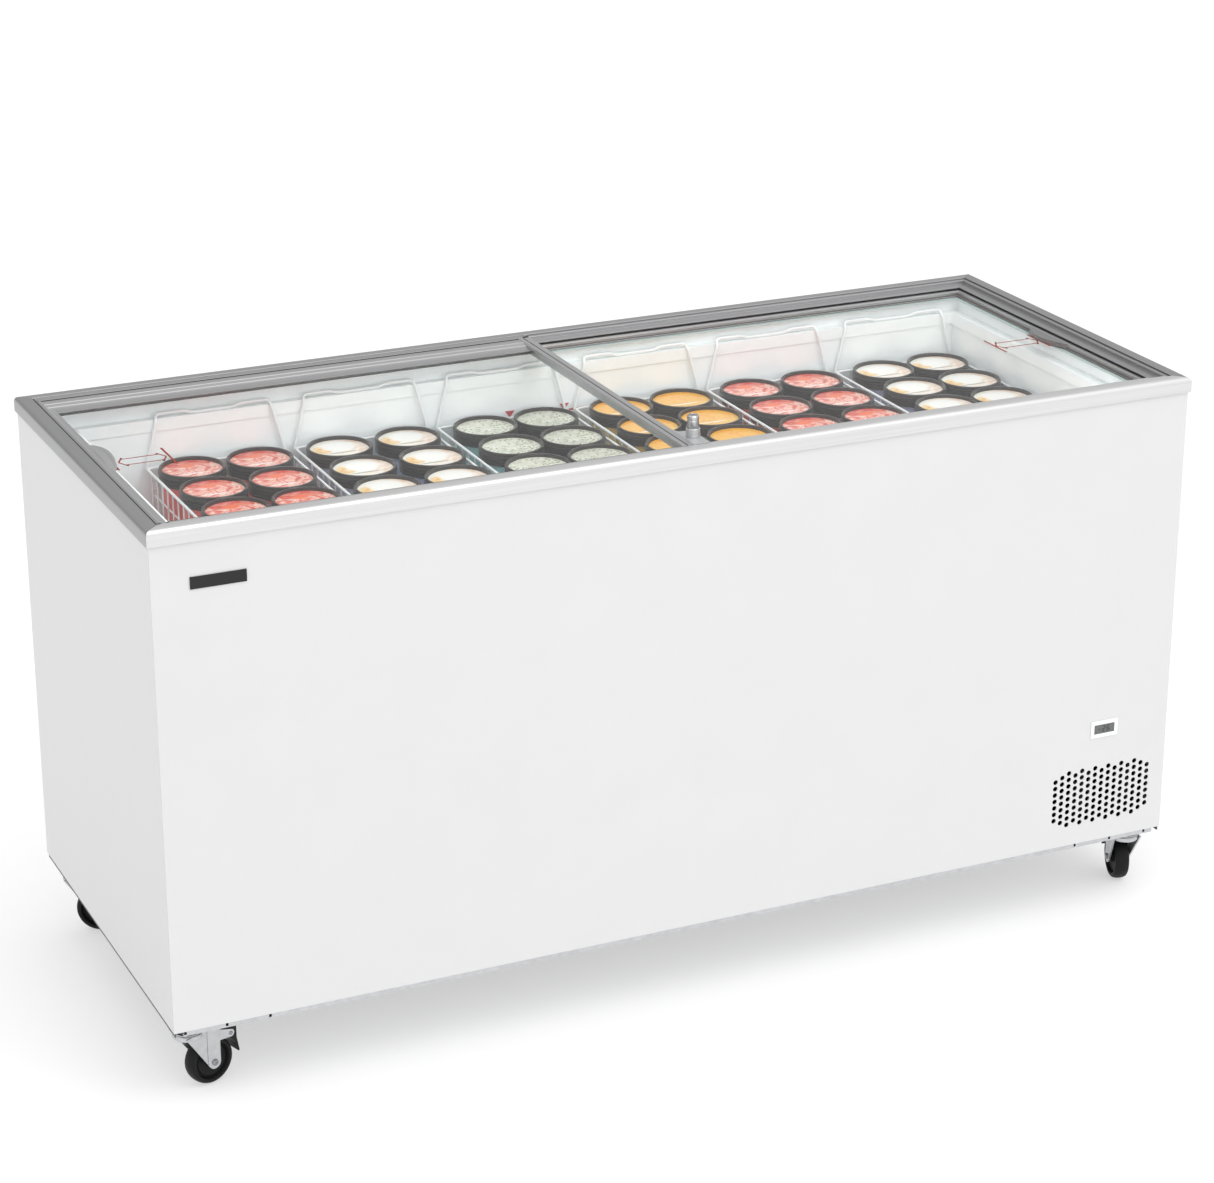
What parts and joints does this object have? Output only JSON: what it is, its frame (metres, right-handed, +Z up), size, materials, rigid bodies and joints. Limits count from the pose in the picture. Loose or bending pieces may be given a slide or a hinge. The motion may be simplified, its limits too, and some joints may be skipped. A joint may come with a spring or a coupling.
{
  "type": "ice cream display cabinet",
  "caption": "Low chest freezer on braked swivel castors with flat sliding glass lids, a push lock and hanging wire baskets for ice cream tubs.",
  "frame": {"origin": "on the floor at the middle of the cabinet's footprint", "axes": "+Z up, front faces -Y, +X towards the machine bay at the right-hand end"},
  "size_m": [1.689, 0.674, 0.9185],
  "materials": {
    "panel_white": "satin white",
    "collar_grey": "satin anodised grey",
    "trim_white": "satin white",
    "liner_white": "satin",
    "zinc": "zinc plated",
    "foam": "rigid foam",
    "glass": "clear toughened glass",
    "frame_grey": "satin grey",
    "satin_grey": "satin grey",
    "steel": "bright",
    "black_plastic": "matt black",
    "black_rubber": "matt black",
    "basket_white": "white coated wire",
    "screen": "display window",
    "bezel": "white",
    "black_enamel": "black enamel",
    "copper": "copper"
  },
  "bodies": {
    "cabinet": {"front_panel": "panel_white", "rear_panel": "panel_white", "left_panel": "panel_white", "right_panel": "panel_white", "base_pan": "zinc", "base_rail_front": "zinc", "base_rail_rear": "zinc", "foam_insulation": "foam", "liner": "liner_white", "evaporator_band": "copper", "throat_trim": "trim_white", "collar_front": "collar_grey", "collar_rear": "collar_grey", "collar_left": "collar_grey", "collar_right": "collar_grey", "display_bezel": "bezel", "display_screen": "screen", "badge_plate": "black_enamel", "compressor": "black_enamel", "condenser": "black_enamel", "fan_motor": "black_enamel", "fan_shroud": "black_enamel", "refrigerant_line": "copper", "drain_plug": "black_rubber", "cord_gland": "black_plastic", "castor_plate_front_left": "zinc", "castor_plate_front_right": "zinc", "castor_plate_rear_left": "zinc", "castor_plate_rear_right": "zinc"},
    "fan": {"fan_blade": "black_plastic"},
    "upper_lid": {"upper_frame": "frame_grey", "upper_glass": "glass", "upper_handle": "satin_grey", "lock_sleeve": "steel"},
    "lock_button": {"lock_plunger": "steel"},
    "lock_key_plug": {"lock_plug": "steel"},
    "lower_lid": {"lower_frame": "satin_grey", "lower_glass": "glass", "lower_handle": "satin_grey", "lock_keeper": "steel"},
    "basket_1": {"basket_1": "basket_white"},
    "basket_2": {"basket_2": "basket_white"},
    "basket_3": {"basket_3": "basket_white"},
    "basket_4": {"basket_4": "basket_white"},
    "basket_5": {"basket_5": "basket_white"},
    "basket_6": {"basket_6": "basket_white"},
    "castor_front_left": {"fork_front_left": "zinc", "axle_front_left": "steel"},
    "wheel_front_left": {"wheel_front_left": "black_rubber"},
    "brake_front_left": {"brake_pedal_front_left": "black_plastic"},
    "castor_front_right": {"fork_front_right": "zinc", "axle_front_right": "steel"},
    "wheel_front_right": {"wheel_front_right": "black_rubber"},
    "brake_front_right": {"brake_pedal_front_right": "black_plastic"},
    "castor_rear_left": {"fork_rear_left": "zinc", "axle_rear_left": "steel"},
    "wheel_rear_left": {"wheel_rear_left": "black_rubber"},
    "castor_rear_right": {"fork_rear_right": "zinc", "axle_rear_right": "steel"},
    "wheel_rear_right": {"wheel_rear_right": "black_rubber"}
  },
  "joints": [
    {"name": "upper_lid_slide", "type": "slide", "parent": "cabinet", "child": "upper_lid", "axis": [1, 0, 0], "range_m": [0, 0.765]},
    {"name": "lower_lid_slide", "type": "slide", "parent": "cabinet", "child": "lower_lid", "axis": [-1, 0, 0], "range_m": [0, 0.762]},
    {"name": "lock_press", "type": "slide", "parent": "upper_lid", "child": "lock_button", "axis": [0, 0, -1], "range_m": [0, 0.008], "stiffness_N_per_m": 300, "springref_m": -0.003},
    {"name": "lock_key_turn", "type": "hinge", "parent": "lock_button", "child": "lock_key_plug", "pos_m": [0.0165, -0.2625, 0.9145], "axis": [0, 0, 1], "range_deg": [0, 90]},
    {"name": "fan_spin", "type": "hinge", "parent": "cabinet", "child": "fan", "pos_m": [0.7225, -0.2205, 0.215], "axis": [0, 1, 0], "continuous": true},
    {"name": "basket_1_lift", "type": "slide", "parent": "cabinet", "child": "basket_1", "axis": [0, 0, 1], "range_m": [0, 0.011]},
    {"name": "basket_2_lift", "type": "slide", "parent": "cabinet", "child": "basket_2", "axis": [0, 0, 1], "range_m": [0, 0.011]},
    {"name": "basket_3_lift", "type": "slide", "parent": "cabinet", "child": "basket_3", "axis": [0, 0, 1], "range_m": [0, 0.011]},
    {"name": "basket_4_lift", "type": "slide", "parent": "cabinet", "child": "basket_4", "axis": [0, 0, 1], "range_m": [0, 0.011]},
    {"name": "basket_5_lift", "type": "slide", "parent": "cabinet", "child": "basket_5", "axis": [0, 0, 1], "range_m": [0, 0.011]},
    {"name": "basket_6_lift", "type": "slide", "parent": "cabinet", "child": "basket_6", "axis": [0, 0, 1], "range_m": [0, 0.011]},
    {"name": "swivel_front_left", "type": "hinge", "parent": "cabinet", "child": "castor_front_left", "pos_m": [-0.807, -0.286, 0.1], "axis": [0, 0, 1], "continuous": true},
    {"name": "roll_front_left", "type": "hinge", "parent": "castor_front_left", "child": "wheel_front_left", "pos_m": [-0.77425, -0.2758, 0.0375], "axis": [-0.2974, 0.9548, 0], "continuous": true},
    {"name": "brake_press_front_left", "type": "hinge", "parent": "castor_front_left", "child": "brake_front_left", "pos_m": [-0.74561, -0.26688, 0.075], "axis": [-0.2974, 0.9548, 0], "range_deg": [0, 6]},
    {"name": "swivel_front_right", "type": "hinge", "parent": "cabinet", "child": "castor_front_right", "pos_m": [0.807, -0.286, 0.1], "axis": [0, 0, 1], "continuous": true},
    {"name": "roll_front_right", "type": "hinge", "parent": "castor_front_right", "child": "wheel_front_right", "pos_m": [0.81703, -0.2532, 0.0375], "axis": [-0.9563, 0.2924, 0], "continuous": true},
    {"name": "brake_press_front_right", "type": "hinge", "parent": "castor_front_right", "child": "brake_front_right", "pos_m": [0.8258, -0.22451, 0.075], "axis": [-0.9563, 0.2924, 0], "range_deg": [0, 6]},
    {"name": "swivel_rear_left", "type": "hinge", "parent": "cabinet", "child": "castor_rear_left", "pos_m": [-0.807, 0.286, 0.1], "axis": [0, 0, 1], "continuous": true},
    {"name": "roll_rear_left", "type": "hinge", "parent": "castor_rear_left", "child": "wheel_rear_left", "pos_m": [-0.77591, 0.2715, 0.0375], "axis": [0.4226, 0.9063, 0], "continuous": true},
    {"name": "swivel_rear_right", "type": "hinge", "parent": "cabinet", "child": "castor_rear_right", "pos_m": [0.807, 0.286, 0.1], "axis": [0, 0, 1], "continuous": true},
    {"name": "roll_rear_right", "type": "hinge", "parent": "castor_rear_right", "child": "wheel_rear_right", "pos_m": [0.77477, 0.27427, 0.0375], "axis": [0.342, -0.9397, 0], "continuous": true}
  ]
}
